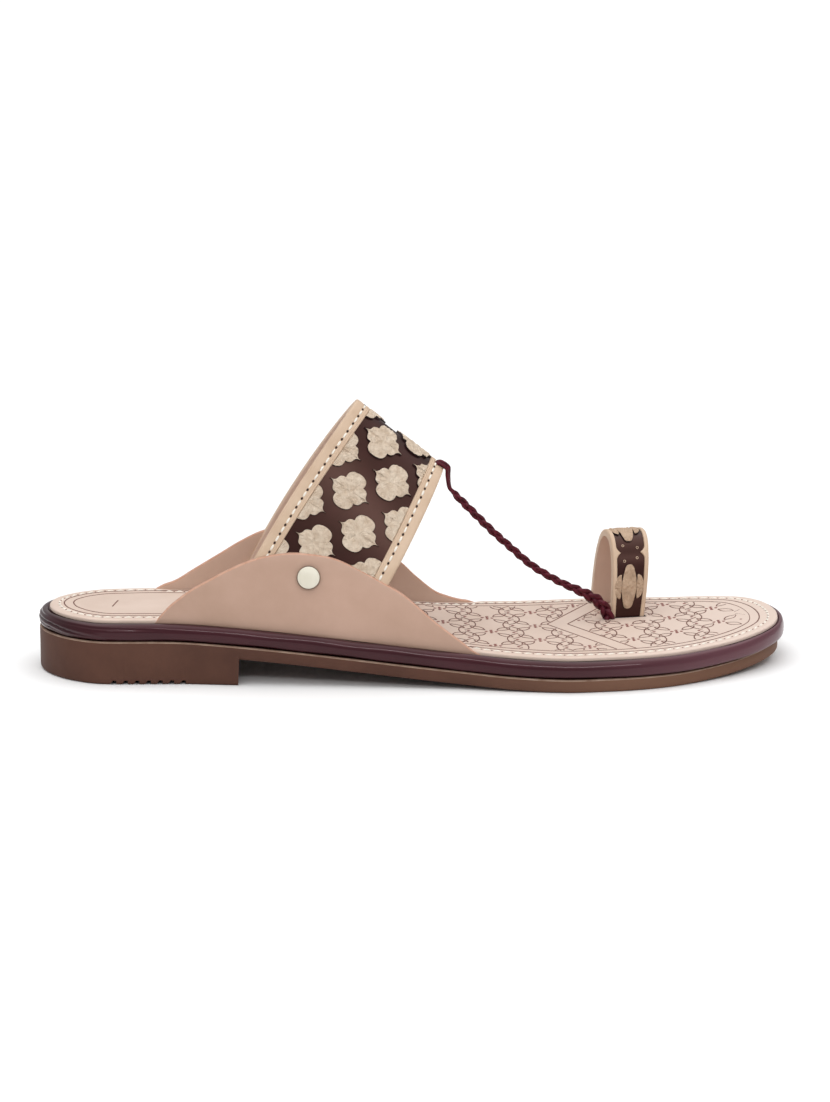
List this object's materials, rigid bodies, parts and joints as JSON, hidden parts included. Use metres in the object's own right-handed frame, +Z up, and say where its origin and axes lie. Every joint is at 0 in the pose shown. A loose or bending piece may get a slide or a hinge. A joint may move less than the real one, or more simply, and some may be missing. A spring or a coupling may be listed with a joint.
{
  "type": "toe ring sandal",
  "caption": "Flat leather sandal with a wide appliqued instep strap on side wings, a braided thong and a toe ring, over an etched insole and a low stacked heel sole.",
  "frame": {"origin": "middle of the sandal's length and width, on the floor", "axes": "+X from the heel to the toe, +Y to the inner side of the foot, +Z up"},
  "size_m": [0.258, 0.0942, 0.0922],
  "materials": {
    "outsole": "satin brown",
    "rand": "padded smooth",
    "insole": "etched lines",
    "upper": "beige over burgundy",
    "toe_ring": "beige over burgundy",
    "braid": "plaited burgundy",
    "rivet": "pale enamel"
  },
  "bodies": {
    "root": {"outsole": "outsole", "midsole": "rand", "insole": "insole", "upper": "upper", "toe_ring": "toe_ring", "braid": "braid", "rivet_lateral": "rivet", "rivet_medial": "rivet"}
  },
  "joints": []
}
